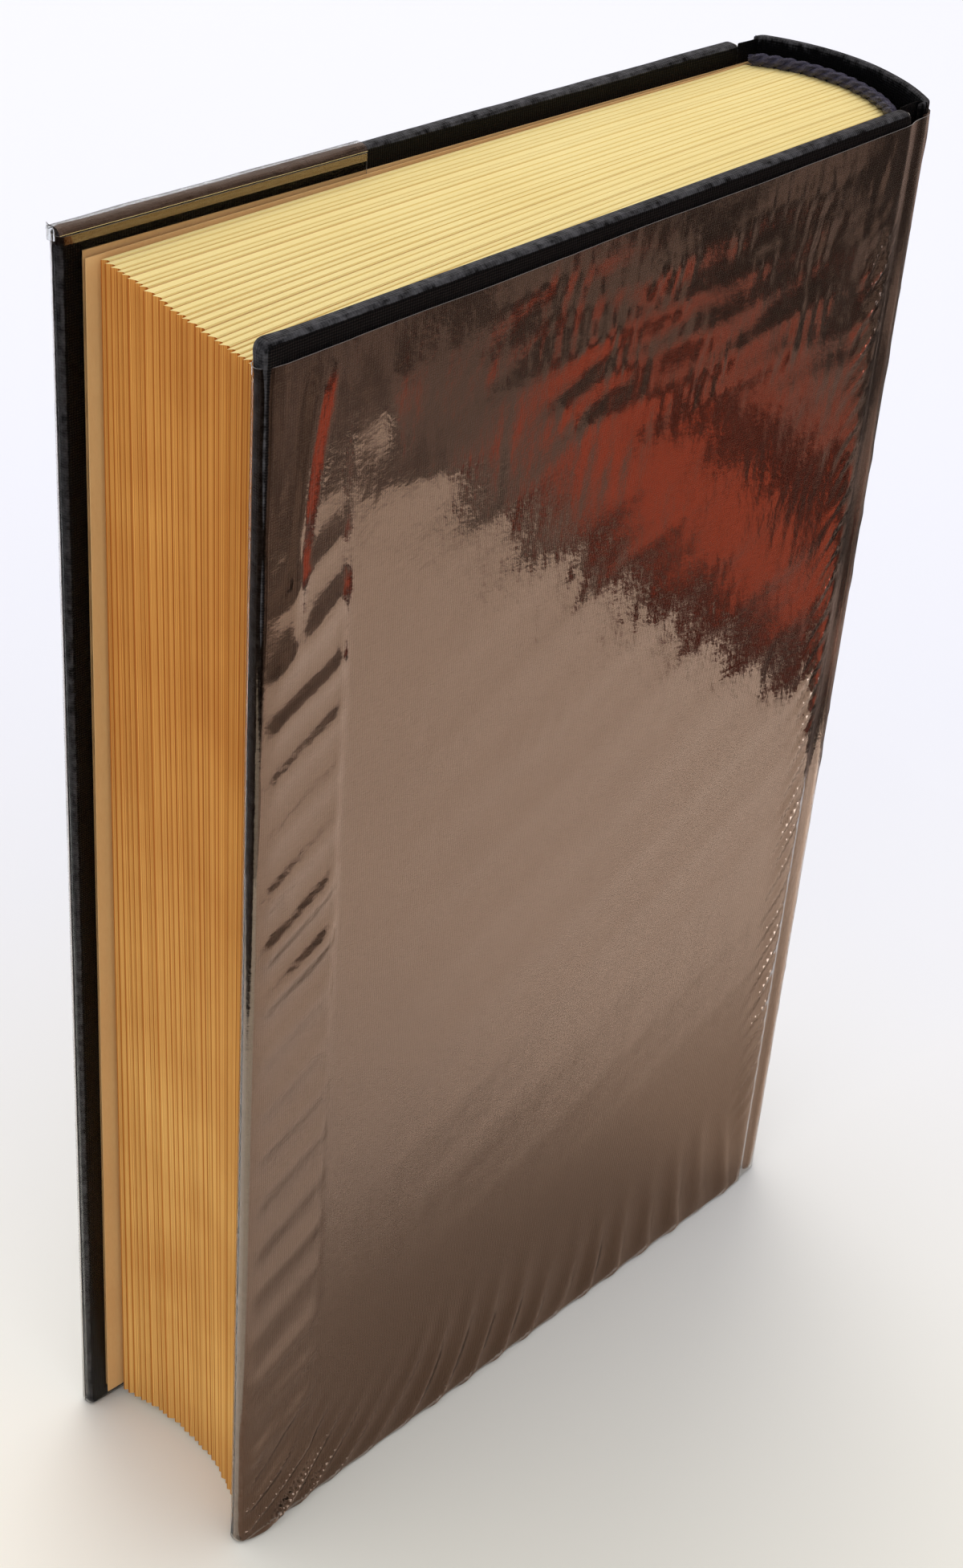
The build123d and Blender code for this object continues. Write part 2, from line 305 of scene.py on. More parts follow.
EVEN = (1, 1, 1)
print("helpers for finishes ready")

# %% [markdown]
# The leaves are yellowed wood-pulp paper. Seen from the edge every leaf is a hair-fine
# line, a little lighter or darker than its neighbour, and the fore-edge has aged to a
# deeper orange than the head. The mesh carries a number that counts the leaves, and the
# finish reads that number, so its lines run exactly along the leaves however they bend.
# Between two sections the folds lie in shade, which is painted into the colour as painted shade, and towards
# the head the fore-edge is painted darker and more orange, also as painted shade.

# %% Paper finishes
SECTIONS, LEAVES = 28, 8
# where the painted shade at a section's folds begins, and the height over which the painted shade towards the
# head comes in
FOLD_SHADE_FROM, HEAD_SHADE_OVER = 0.28, 0.21


def edge_finish(name, light, dark, relief, head_shade=EVEN, folds=0.8):
    """Trimmed edges of leaves: fine lines, painted shade between sections, and painted shade towards the
    head.
    """
    material, shader = new_finish(name, light, 0.82, Specular_IOR_Level=0.2)
    leaf = kept_number(material, "leaf")
    lines = line_noise(material, leaf, 1.7)
    blotch = noise(material, stretched(material, EVEN), 38, 3)
    fibre = noise(material, stretched(material, EVEN), 2600, 2)
    share = sums(material, "MULTIPLY", lines, 0.72)
    share = sums(material, "ADD", share, sums(material, "MULTIPLY", blotch, 0.28))
    # painted shade: leaves near a section's outer folds are darkened, for the shade in the groove between
    # sections
    in_section = sums(material, "FRACT", sums(material, "MULTIPLY", leaf, 1 / LEAVES))
    from_middle = sums(material, "ABSOLUTE", sums(material, "SUBTRACT", in_section, 0.5))
    painted_fold_shade = sums(material, "MAXIMUM", sums(material, "SUBTRACT", from_middle, FOLD_SHADE_FROM), 0.0)
    share = sums(material, "SUBTRACT", share, sums(material, "MULTIPLY", painted_fold_shade, folds))
    # painted shade: the colour is made darker and more orange towards the head
    place_up = stretched(material, (1, 1, 1 / HEAD_SHADE_OVER))
    share_up = add(material, "ShaderNodeSeparateXYZ", {0: place_up}).outputs[2]
    painted_head_shade = blend_colour(material, share_up, EVEN, head_shade)
    colours = {0: 1.0, 6: blend_colour(material, share, dark, light), 7: painted_head_shade}
    tinted = add(material, "ShaderNodeMix", colours, data_type="RGBA", blend_type="MULTIPLY").outputs[2]
    join(material, tinted, shader, "Base Color")
    height = sums(material, "ADD", lines, sums(material, "MULTIPLY", fibre, 0.25))
    bump(material, shader, height, relief)
    return material


# both edges carry painted shade at the section folds; the fore-edge's is stronger, and it also has painted
# shade towards the head
head_edges = edge_finish("leaf_edges_head", (0.93, 0.77, 0.36), (0.80, 0.60, 0.22), 0.00005)
fore_edges = edge_finish("leaf_edges_fore", (1.0, 0.62, 0.19), (0.46, 0.16, 0.022), 0.00006,
                         head_shade=(0.88, 0.72, 0.56), folds=5.0)


def paper_finish(name, light, dark, roughness=0.75):
    """The flat side of paper or board: soft blotches and short fibres."""
    material, shader = new_finish(name, light, roughness, Specular_IOR_Level=0.25)
    mottle = noise(material, stretched(material, EVEN), 55, 4)
    grain = noise(material, stretched(material, (1, 1, 0.4)), 1900, 3)
    share = sums(material, "MULTIPLY", mottle, 0.6)
    share = sums(material, "ADD", share, sums(material, "MULTIPLY", grain, 0.4))
    join(material, blend_colour(material, share, dark, light), shader, "Base Color")
    bump(material, shader, grain, 0.00003)
    return material


page_paper = paper_finish("page_paper", (0.84, 0.62, 0.30), (0.78, 0.54, 0.24))
endpaper = paper_finish("endpaper", (0.80, 0.50, 0.21), (0.74, 0.43, 0.17))
lining_paper = paper_finish("brown_lining_paper", (0.36, 0.23, 0.12), (0.27, 0.16, 0.08), 0.85)
greyboard = paper_finish("greyboard", (0.30, 0.27, 0.22), (0.20, 0.18, 0.15), 0.9)
spine_card = paper_finish("spine_card", (0.42, 0.35, 0.25), (0.33, 0.27, 0.19), 0.85)
print("paper finishes made")

# %% [markdown]
# Book cloth is a plain cotton weave filled with black starch: about 26 threads to the centimetre, dull, with
# tiny glints where a thread stands proud. Three crossed waves, one per axis, give a weave on any face of the
# covers without unwrapping the mesh. Along the rounded edges, where hands rub, the filling wears off and the
# threads look grey, and that grey, lightest on the thread tops, is also a painted highlight for the glints of
# light along those edges.

# %% Cloth finishes
def weave(material, threads_per_metre):
    """Height of a plain weave: one wave per axis, moved about a little, all added."""
    place = add(material, "ShaderNodeTexCoord").outputs["Object"]
    wobble = add(material, "ShaderNodeTexNoise", {"Vector": place, "Scale": 420.0, "Detail": 2.0})
    small = {0: wobble.outputs["Color"], "Scale": 0.00022}
    moved = add(material, "ShaderNodeVectorMath", small, operation="SCALE")
    place = add(material, "ShaderNodeVectorMath", {0: place, 1: moved.outputs[0]}).outputs[0]
    split = add(material, "ShaderNodeSeparateXYZ", {0: place})
    phases = [sums(material, "MULTIPLY", axis, threads_per_metre * 2 * pi) for axis in split.outputs]
    waves = [sums(material, "SINE", phase) for phase in phases]
    crossed = sums(material, "ADD", sums(material, "ADD", waves[0], waves[1]), waves[2])
    return sums(material, "MULTIPLY_ADD", crossed, 0.22, 0.5)


def cloth_finish(name, dark, worn_and_glinting, threads=2600):
    """Filled cloth of so many threads to the metre, grey from use and with painted glints along the edges
    that the mesh marks.
    """
    material, shader = new_finish(name, dark, 0.5, Specular_IOR_Level=0.10)
    threads_height = weave(material, threads)
    slubs = noise(material, stretched(material, EVEN), 900, 3, 0.7)
    height = sums(material, "ADD", threads_height, slubs)
    patchy = noise(material, stretched(material, EVEN), 650, 4, 0.7)
    # real wear mixed with painted highlights: the rubbed edges, and the thread tops on them, are lightened
    # towards the grey colour
    wear_and_glints = sums(material, "MULTIPLY", patchy, 0.8)
    share = sums(material, "MULTIPLY", kept_number(material, "rubbed_and_glinting"), wear_and_glints)
    share = sums(material, "ADD", share, sums(material, "MULTIPLY", threads_height, 0.08))
    join(material, blend_colour(material, share, dark, worn_and_glinting), shader, "Base Color")
    join(material, sums(material, "MULTIPLY_ADD", slubs, 0.25, 0.34), shader, "Roughness")
    bump(material, shader, height, 0.00010)
    return material


book_cloth = cloth_finish("black_book_cloth", (0.003, 0.003, 0.0035), (0.11, 0.105, 0.11))
gauze = cloth_finish("backing_gauze", (0.45, 0.40, 0.30), (0.60, 0.55, 0.44), 1300)
print("two cloths:", book_cloth.name, "and", gauze.name)

# %% [markdown]
# The headband is wound with mercerised thread so dark that it looks black, with a violet-blue glint.
# Mercerised thread is shiny along its length, so the finish has a fairly low roughness and fine ridges that
# follow the thread. The lighter violet streaks along the thread are painted highlights.

# %% Thread finish
VIOLET_GLINT = (0.80, 0.80, 1.0, 1.0)
band_thread, band_shader = new_finish("band_thread", (0.012, 0.011, 0.024), 0.26,
                                      Specular_IOR_Level=0.9, Specular_Tint=VIOLET_GLINT)
fibres = line_noise(band_thread, kept_number(band_thread, "twist"), 5.0)
# painted highlights: the lighter colour along the fibres stands in for glints of light on the thread
thread_and_highlight_colour = blend_colour(band_thread, fibres, (0.003, 0.002, 0.008), (0.085, 0.080, 0.130))
join(band_thread, thread_and_highlight_colour, band_shader, "Base Color")
bump(band_thread, band_shader, fibres, 0.00018)
print("thread finish:", len(band_thread.node_tree.nodes), "nodes")

# %% [markdown]
# The jacket is clear polypropylene film. It shows the cloth through it and mirrors the room; its reflections
# get a warm tint, a painted tint that stands in for the warm colour of the room's light. It is modelled as a
# real thin sheet, so a glass-like shader with a plain transmission of 1 is enough. Fine orange-peel relief
# and faint scuffs soften the reflections. Where the flaps are pressed on the boards' inner faces there is no
# air gap, so they hardly mirror, and they are mostly see-through. The cut edge of the film scatters light, so
# it shows as a thin grey line.

# %% Film finish
# the warm tint on the film's reflections is painted, for the warm light of the room
FILM_COLOUR, PAINTED_WARM_REFLECTION = (0.97, 0.95, 0.92), (1.0, 0.76, 0.60, 1.0)
clear_film, film_shader = new_finish("clear_film", FILM_COLOUR, 0.06, IOR=2.0,
                                     Transmission_Weight=1.0, Specular_Tint=PAINTED_WARM_REFLECTION)
peel = noise(clear_film, stretched(clear_film, EVEN), 900, 2)
ripple = noise(clear_film, stretched(clear_film, (1, 1, 0.35)), 210, 3)
scuff = noise(clear_film, stretched(clear_film, EVEN), 60, 4)
join(clear_film, sums(clear_film, "MULTIPLY_ADD", scuff, 0.10, 0.02), film_shader, "Roughness")
film_height = sums(clear_film, "ADD", sums(clear_film, "MULTIPLY", peel, 0.25), ripple)
bump(clear_film, film_shader, film_height, 0.00006)
pressed_film, pressed_shader = new_finish("clear_film_pressed_on", FILM_COLOUR, 0.08, IOR=1.15,
                                          Transmission_Weight=1.0, Alpha=0.3)
bump(pressed_film, pressed_shader, noise(pressed_film, stretched(pressed_film, EVEN), 300, 2), 0.00002)
cut_edge = new_finish("clear_film_cut_edge", (0.30, 0.27, 0.25), 0.4)[0]
print("film finishes:", clear_film.name, pressed_film.name, cut_edge.name)

# %% [markdown]
# ## The leaves
# Twenty-eight sewn sections of eight leaves make the block. The back is round, the gutter
# is tight, the front sections fan out after the open cover, and the fore-edge hangs forward
# and down because the book stands upright. One function says where any point of any leaf
# is, so that all sections share the same bends. It takes three shares: u along a leaf from
# back to fore-edge, q through the block from front to back, and w up it.

# %% How the leaves lie
GUTTER_X, FAN = 13.4, 4.35
FORE_AT_HEAD = ([0, 0.2, 0.4, 0.6, 0.8, 1], [123.2, 123.6, 123.8, 124.0, 124.4, 124.7])
FORE_AT_TAIL = ([0, 0.15, 0.3, 0.45, 0.6, 0.8, 0.92, 1],
                [122.4, 121.1, 120.2, 119.9, 120.2, 122.0, 123.6, 124.6])


def fore_edge(q, w):
    """x of the fore-edge in mm, nearly flat at the head and hollow at the tail."""
    hollow = (1 - w) ** 1.25
    return np.interp(q, *FORE_AT_HEAD) * (1 - hollow) + np.interp(q, *FORE_AT_TAIL) * hollow


def back_x(y):
    """x of the rounded back in mm."""
    y = np.clip(y, -HALF_BLOCK, HALF_BLOCK)
    return SHOULDER_X - BACK_RISE + BACK_RADIUS - np.sqrt(BACK_RADIUS ** 2 - y ** 2)


def sag(q):
    """How far the leaves hang down at the fore-edge, in mm."""
    return 1.0 + 1.7 * smooth_step(q, 0.0, 0.75)


def leaf_place(u, q, w, reach, gap_q):
    """Plan place in mm at share u along a leaf, q through the block and w up it."""
    q = np.clip(q, 0, 1)
    y_back = -HALF_BLOCK + 2 * HALF_BLOCK * q
    x0 = back_x(y_back)
    x1 = fore_edge(q, w) + reach
    x = x0 + (x1 - x0) * u
    out = np.clip((x - GUTTER_X) / 110.8, 0, 1.1)
    y = y_back - FAN * (1 - q) ** 1.6 * out ** 1.1 + gap_q * (0.1 + 0.9 * out ** 2)
    z = SQUARE + w * (HEIGHT - 2 * SQUARE) - sag(q) * out ** 2
    return x, y, z


print("the leaves sag by", sag(0.0), "to", sag(1.0), "mm at the fore-edge")

# %% [markdown]
# Each section is its own closed slab of six faces. Its outermost leaves are drawn back at
# the edges like a pillow, so that a fine groove shows between two sections. Sections step a
# little past each other, which gives the saw-tooth line at the head. Every point also gets
# the count of leaves up to it, for the finish of the edges.

# %% One section
rng = np.random.default_rng(11)
widths = rng.uniform(0.76, 1.24, SECTIONS)
bounds_q = np.concatenate([[0], np.cumsum(widths) / widths.sum()])
ALONG = np.concatenate([np.linspace(0, 0.12, 5), np.linspace(0.12, 1, 15)[1:]])
UP = np.linspace(0, 1, 25)
ACROSS = np.array([0, 0.12, 0.37, 0.63, 0.88, 1.0])
PILLOW = np.array([-0.16, -0.02, 0.0, 0.0, -0.02, -0.16])
SPREAD = 0.14
HEAD_FACE, FORE_FACE, PAGE_FACE = 0, 1, 2


def section(k):
    """One sewn section as a closed slab: (points, faces, finish per face, leaf count per point)."""
    q0, q1 = bounds_q[k], bounds_q[k + 1]
    reach, lift = rng.normal(0, 0.07), rng.normal(0, 0.05)
    tooth = 0.70 + 0.25 * rng.random()
    points, faces, finish, leaf = [], [], [], []

    def face_grid(u, across, w, kind, flip):
        """Adds one of the six faces, as a grid."""
        q = q0 + (q1 - q0) * ACROSS[across]
        step = tooth * (0.5 - ACROSS[across]) + reach
        spread = (0.5 - ACROSS[across]) * 2 * SPREAD
        x, y, z = leaf_place(u, q, w, step, spread)
        x = x + PILLOW[across] * (u >= 1)
        z = z + (lift + PILLOW[across]) * np.where(w >= 1, 1, 0) - PILLOW[across] * np.where(w <= 0, 1, 0)
        start = sum(len(p) for p in points)
        points.append(on_block(x, y, z).reshape(-1, 3))
        leaf.append(np.broadcast_to((k + ACROSS[across]) * LEAVES, x.shape).ravel())
        quads = grid_faces(*x.shape, start, flip)
        faces.extend(quads)
        finish.extend([kind] * len(quads))

    side, last = np.arange(len(ACROSS)), len(ACROSS) - 1
    for w, flip in ((0.0, True), (1.0, False)):
        face_grid(ALONG[:, None], side[None, :], np.full((1, 1), w), HEAD_FACE, flip)
    for u, flip in ((0.0, False), (1.0, True)):
        face_grid(np.full((1, 1), u), side[None, :], UP[:, None], FORE_FACE, flip)
    for a, flip in ((0, False), (last, True)):
        face_grid(ALONG[:, None], np.full((1, 1), a), UP[None, :], PAGE_FACE, flip)
    return np.concatenate(points), faces, finish, np.concatenate(leaf)


print("section widths in mm:", np.round(np.diff(bounds_q) * 2 * HALF_BLOCK, 2))

# %% [markdown]
# All sections go into one piece. Points that lie in the same place are welded, so that each
# slab's faces share their edges and the slab is closed.

# %% The block of leaves
def weld(piece, distance=0.000002):
    """Joins points that lie in one place, and turns all faces outwards."""
    work = bmesh.new()
    work.from_mesh(piece.data)
    bmesh.ops.remove_doubles(work, verts=work.verts, dist=distance)
    bmesh.ops.recalc_face_normals(work, faces=work.faces)
    work.to_mesh(piece.data)
    work.free()
    piece.data.set_sharp_from_angle(angle=radians(35))
    return piece


made = [section(k) for k in range(SECTIONS)]
points, faces = gather([m[:2] for m in made])
face_finish = sum((m[2] for m in made), [])
block = make_piece("leaf_block", points, faces, [head_edges, fore_edges, page_paper], face_finish)
keep_number(block, "leaf", np.concatenate([m[3] for m in made]))
weld(block)
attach(block, "block")
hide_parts("text_block")
print("leaf block:", SECTIONS, "sections,", len(block.data.polygons), "faces")

# %% [markdown]
# ## Endpapers
# At each end of the block one folded sheet of stronger paper joins the leaves to the cover.
# One half is the flyleaf, which rides with the block. Its folded edge reaches into the joint, where the other
# half, the pastedown, takes over and lies on the cover. The front flyleaf leans out after the open cover, and
# the back one lies flat on the last leaves.

# %% Flyleaves
FLYLEAF_FORE = 124.8


def flyleaf(side):
    """The free half of an endpaper, from its folded edge in the joint to the fore-edge."""
    sign = -1 if side == "front" else 1
    z = np.linspace(SQUARE, HEIGHT - SQUARE, 60)
    near, far = np.linspace(2.5, GUTTER_X, 6), np.linspace(GUTTER_X, FLYLEAF_FORE, 60)[1:]
    x = np.concatenate([[0.72, 0.6, 0.75, 1.2], near, far])
    y = np.interp(x, [0.6, 1.2, 5.5, GUTTER_X, FLYLEAF_FORE], [14.62, 14.52, 14.38, 14.33, 14.33])
    y[0], y[1] = 14.9, 14.72
    x, y, z = x[:, None], y[:, None], z[None, :]
    out = np.clip((x - GUTTER_X) / (FLYLEAF_FORE - GUTTER_X), 0, 1)
    drop = 2.2 * out ** 2
    if side == "front":
        up = (z - SQUARE) / (HEIGHT - 2 * SQUARE)
        y = y + 5.2 * out + 0.2 * out ** 2 * (1 - up) + 0.10 * soft_noise(x, z, 38, 21) * out
        drop = 0.9 * out ** 2
    sheet = on_block(x, sign * y, z - drop)
    under = on_block(x, sign * (y + PAPER), z - drop)
    piece = outward(make_piece(f"{side}_endpaper_flyleaf", *shell(sheet, under), endpaper))
    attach(piece, "block")
    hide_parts(f"{side}_flyleaf")
    return piece


for side in ("front", "back"):
    piece = flyleaf(side)
    print(side, "flyleaf:", len(piece.data.polygons), "faces")

# %% [markdown]
# The pastedown is glued inside the cover over the cloth's turned-in edges, so their ridge
# shows through it as a faint frame. Towards the spine it goes on over the joint.

# %% Pastedowns
JOINT_START, JOINT_END = -2.2, 2.4
RIDGE, RIDGE_AT, GLUE = 0.11, 110.0, 0.02


def bend_with_cover(piece, side):
    """Bakes a sheet's placement into its points; it works out where the cover's joint starts and ends, but
    doesn't bend the sheet.
    """
    start, end = (Vector(on_cover(side, u, V_CLOTH, HEIGHT / 2)) for u in (JOINT_START, JOINT_END))
    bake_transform(piece)


def runs(*pieces):
    """Several evenly spaced runs (start, end, count) in one array."""
    return np.concatenate([np.linspace(*piece) for piece in pieces])


def pastedown(side):
    """The glued half of an endpaper, finer where the cloth's edges press through."""
    z = runs((3.2, 14, 10), (14.5, 16, 4), (20, 196, 45), (196.5, 198, 4), (199.2, 208.8, 9))
    u = runs((-1.9, 3.4, 16), (4, 108, 40), (108.6, 111.8, 6), (113, 122, 8))
    u, z = u[:, None], z[None, :]
    ridge = smooth_step(u, RIDGE_AT - 0.8, RIDGE_AT + 0.8)
    ridge = ridge + smooth_step(z, 15.8, 14.2) + smooth_step(z, 196.2, 197.8)
    ridge = np.clip(ridge, 0, 1) * smooth_step(u, 3.0, 6.0)
    v = V_TURN_IN - PAPER - GLUE + RIDGE * (1 - ridge) + 0.015 * soft_noise(u, z, 22, 5)
    v = np.where(u < 3.4, V_TURN_IN - PAPER, v)
    sheet, under = on_cover(side, u, v, z), on_cover(side, u, v + PAPER - 0.01, z)
    piece = outward(make_piece(f"{side}_endpaper_pastedown", *shell(sheet, under), endpaper))
    bend_with_cover(piece, side)
    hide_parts(f"{side}_pastedown")
    return piece


for side in ("front", "back"):
    piece = pastedown(side)
    print(side, "pastedown:", len(piece.data.polygons), "faces")

# %% [markdown]
# ## Headbands
# A headband is a cord over-wound with thread and glued to the back of the block. It is made
# here the way rope is: three strands that wind round one line, each with a twist of its own.
# A strand is a ring of points carried along that line. The band below the cord is a narrow
# tape, glued to the back of the leaves.

# %% Head and tail bands
BAND_ANGLE = asin((HALF_BLOCK - 0.4) / BACK_RADIUS)
STRAND_RADIUS, LAY_RADIUS = 0.50, 0.47


def band_line(t, z, out=0.1):
    """Points along the back of the block; t runs from -1, front, to 1, back."""
    angle = t * BAND_ANGLE
    radius = BACK_RADIUS + out
    x = SHOULDER_X - BACK_RISE + BACK_RADIUS - radius * np.cos(angle)
    return np.stack([x, radius * np.sin(angle), np.broadcast_to(z, np.shape(t))], -1)


def strand(z, lay, number, pitch=6.4, steps=150, sides=10):
    """One strand of the cord: (points, faces, thread count per point); lay is 1 or -1."""
    t = np.linspace(-1, 1, steps)
    line = band_line(t, z)
    along = np.gradient(line, axis=0)
    along /= np.linalg.norm(along, axis=1)[:, None]
    vertical = np.array([0, 0, 1.0])
    sideways = np.cross(along, vertical)
    length = np.concatenate([[0], np.cumsum(np.linalg.norm(np.diff(line, axis=0), axis=1))])
    turn = lay * 2 * pi * length / pitch + number * 2 * pi / 3
    taper = 0.55 + 0.45 * np.minimum(1, np.minimum(length, length[-1] - length) / 1.2)
    round_line = np.cos(turn)[:, None] * sideways + np.sin(turn)[:, None] * vertical
    centre = line + (LAY_RADIUS * taper)[:, None] * round_line
    heading = np.gradient(centre, axis=0)
    heading /= np.linalg.norm(heading, axis=1)[:, None]
    first = np.cross(heading, vertical)
    first /= np.linalg.norm(first, axis=1)[:, None]
    second = np.cross(heading, first)
    angle = np.linspace(0, 2 * pi, sides, endpoint=False)
    ply = 1 + 0.10 * np.cos(3 * angle[None, :] - lay * 3 * turn[:, None])
    radius = (STRAND_RADIUS * taper)[:, None] * ply
    ring = np.cos(angle)[None, :, None] * first[:, None] + np.sin(angle)[None, :, None] * second[:, None]
    points = centre[:, None] + radius[..., None] * ring
    faces = []
    for i in range(steps - 1):
        for j in range(sides):
            a, b = i * sides + j, i * sides + (j + 1) % sides
            faces.append([a, b, b + sides, a + sides])
    faces += [list(range(sides))[::-1], [(steps - 1) * sides + j for j in range(sides)]]
    twist = angle[None, :] / (2 * pi) * 8 + length[:, None] * 1.4
    return on_block(*np.moveaxis(points, -1, 0)).reshape(-1, 3), faces, twist.ravel()


def headband(name, z, tape_low, tape_high, lay):
    """A cord of three strands at height z, with the tape that holds it to the back."""
    strands = [strand(z, lay, n) for n in range(3)]
    t, heights = np.linspace(-1, 1, 40)[:, None], np.linspace(tape_low, tape_high, 6)[None, :]
    t, heights = np.broadcast_arrays(t, heights)
    tape_face, tape_back = (on_block(*np.moveaxis(band_line(t, heights, out), -1, 0)) for out in (0.25, 0.02))
    tape = shell(tape_face, tape_back)
    points, faces = gather([s[:2] for s in strands] + [tape])
    piece = outward(make_piece(f"{name}_cord", points, faces, band_thread))
    twist = np.concatenate([s[2] for s in strands] + [np.zeros(len(tape[0]))])
    keep_number(piece, "twist", twist)
    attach(piece, "block")
    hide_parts(name)


headband("head_band", HEIGHT - SQUARE + 0.95, 198, 209, 1)
headband("tail_band", SQUARE - 0.95, 3, 14, -1)
print("two bands of three strands each")

# %% [markdown]
# ## Cloth-covered boards
# Cloth is drawn over the board and turned in over its edges, so all edges are round and the
# corners, where it is folded twice, are a little lumpy. The skin is made from rings that
# follow the board's outline: they go from the outer face over the edge to the inner face.

# %% Cloth round a board
ARC_STEPS, STEPS_ACROSS, STEPS_UP = 7, 90, 120
EDGE_RADIUS, TURN_IN = 0.85, 15.0


def outline(inset, corner):
    """Points (u, z) round a board, drawn in by inset: seven to a corner, many along each side."""
    low_u, high_u, low_z, high_z = U_EDGE + inset, U_FORE - inset, inset, HEIGHT - inset
    r = max(corner - inset, 0.12)
    ring = []
    turns = np.linspace(0, pi / 2, ARC_STEPS)
    for cu, cz, first in ((high_u - r, high_z - r, 0), (low_u + r, high_z - r, pi / 2),
                          (low_u + r, low_z + r, pi), (high_u - r, low_z + r, 3 * pi / 2)):
        ring += [(cu + r * cos(first + a), cz + r * sin(first + a)) for a in turns]
    full = []
    for k, (a, b) in enumerate(zip(ring, ring[1:] + ring[:1])):
        corner_number, step_in_corner = divmod(k, ARC_STEPS)
        steps = (STEPS_ACROSS, STEPS_UP)[corner_number % 2] if step_in_corner == ARC_STEPS - 1 else 1
        full += [(a[0] + (b[0] - a[0]) * s / steps, a[1] + (b[1] - a[1]) * s / steps) for s in range(steps)]
    return np.array(full)


def covered_board(side):
    """Skin of cloth round a board: outer face, rounded edges and the turned-in margin."""
    middle, half, edge = (V_CLOTH + V_TURN_IN) / 2, (V_CLOTH - V_TURN_IN) / 2, EDGE_RADIUS
    quarter = np.linspace(0, pi / 2, ARC_STEPS)
    profile = [(9.0, half), (2.2, half)]
    profile += [(edge - edge * sin(a), half - edge + edge * cos(a)) for a in quarter]
    profile += [(edge - edge * cos(a), -half + edge - edge * sin(a)) for a in quarter]
    profile += [(2.2, -half), (9.0, -half), (TURN_IN, -half)]
    centre_u, centre_z = (U_EDGE + U_FORE) / 2, HEIGHT / 2
    rings, rubbed_and_glinting = [], []
    for inset, level in profile:
        ring = outline(inset, 1.5)
        u, z = ring[:, 0], ring[:, 1]
        near_u = np.minimum(abs(u - U_FORE), 40)
        near_z = np.minimum(z, HEIGHT - z)
        lump = 0.16 * np.exp(-(near_u ** 2 + near_z ** 2) / 14) * (1 if inset < 4 else 0)
        away = np.sign(level) if abs(level) > 0.3 else 0
        ripple = 0.035 * soft_noise(u + 3 * level, z, 5.5, 31 if side == "front" else 32) * (inset < 1)
        v = middle + level + away * lump + ripple
        push = lump * 0.8 + ripple
        u = u + push * np.sign(u - centre_u) * (abs(u - centre_u) > 60)
        z = z + push * np.sign(z - centre_z) * (abs(z - centre_z) > 105)
        z = np.clip(z, 0.0, None)
        rings.append(on_cover(side, u, v, z))
        # how rubbed each ring is, which gives both worn cloth and painted glints on the rounded edges
        rubbed_and_glinting.append(np.full(len(u), 1.0 if inset < 0.5 else max(0.0, 0.7 - inset * 0.5)))
    rings = np.array(rings)
    count = rings.shape[1]
    faces = []
    for i in range(len(profile) - 1):
        a = i * count + np.arange(count)
        b = i * count + (np.arange(count) + 1) % count
        faces += np.stack([a, b, b + count, a + count], -1).tolist()
    faces.append(list(range(count)))
    return rings.reshape(-1, 3), faces, np.concatenate(rubbed_and_glinting)


print("points round a board:", len(outline(0, 1.5)))

# %% [markdown]
# Between spine and board the same cloth runs on as a groove, the joint, where the cover turns. It is a piece
# of its own here, apart from the board's cloth, which turns stiffly with the board.

# %% Cloth across the joint
JOINT_CLOTH = 0.22


def joint_strip(side):
    """Cloth in the groove between the spine's shoulder and the board."""
    path = np.array([(-1.85, -1.72), (-1.75, -2.0), (-1.55, -2.35), (-1.25, -2.62), (-0.8, -2.78),
                     (0.3, -2.82), (1.5, -2.8), (2.2, -2.74), (2.7, -2.7), (3.1, -2.72)])
    low_ends = np.array([0.0, 0.12, 0.4])
    high_ends = HEIGHT - low_ends[::-1]
    z = np.concatenate([low_ends, np.linspace(2, HEIGHT - 2, 50), high_ends])
    rounding = np.interp(z, [*low_ends, *high_ends], [0.08, 0.03, 0, 0, 0.03, 0.08])
    u, v = path[:, 0][:, None], path[:, 1][:, None]
    outer = on_cover(side, u, v - rounding[None, :], z[None, :])
    inner = on_cover(side, u, v - JOINT_CLOTH + rounding[None, :], z[None, :])
    return shell(outer, inner)


print("the joint strip has", len(joint_strip("back")[1]), "faces")

# %% [markdown]
# Both covers are made by one loop. The board's skin is given its thickness by a modifier,
# inwards from the outer face, and the result is kept as the mesh.

# %% Both covers
for side in ("front", "back"):
    board_points, board_faces, rubbed_and_glinting = covered_board(side)
    skin = outward(make_piece(f"{side}_board_cloth", board_points, board_faces, book_cloth))
    keep_number(skin, "rubbed_and_glinting", rubbed_and_glinting)
    thick = skin.modifiers.new("thickness", "SOLIDIFY")
    thick.thickness, thick.offset = CLOTH * MM, -1
    bpy.context.view_layer.update()
    solid = bpy.data.meshes.new_from_object(skin.evaluated_get(bpy.context.evaluated_depsgraph_get()))
    skin.modifiers.clear()
    skin.data = solid
    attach(skin, f"{side}_cover")
    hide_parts(f"{side}_cover_cloth")

    strip = outward(make_piece(f"{side}_joint_cloth", *joint_strip(side), book_cloth))
    bend_with_cover(strip, side)
    print(side, "cover cloth:", len(skin.data.polygons), "faces")

# %% [markdown]
# ## Spine
# Over the round back the same cloth is stretched on a strip of card. It doesn't touch the
# block, so from above there is a dark hollow. At head and tail the cloth is folded in over
# the card, which makes the rounded rim of the spine.

# %% Spine cloth
SPINE_ANGLE = asin(SHOULDER_Y / SPINE_RADIUS)
FOLD, FOLD_DEEP = 0.55, 12.0


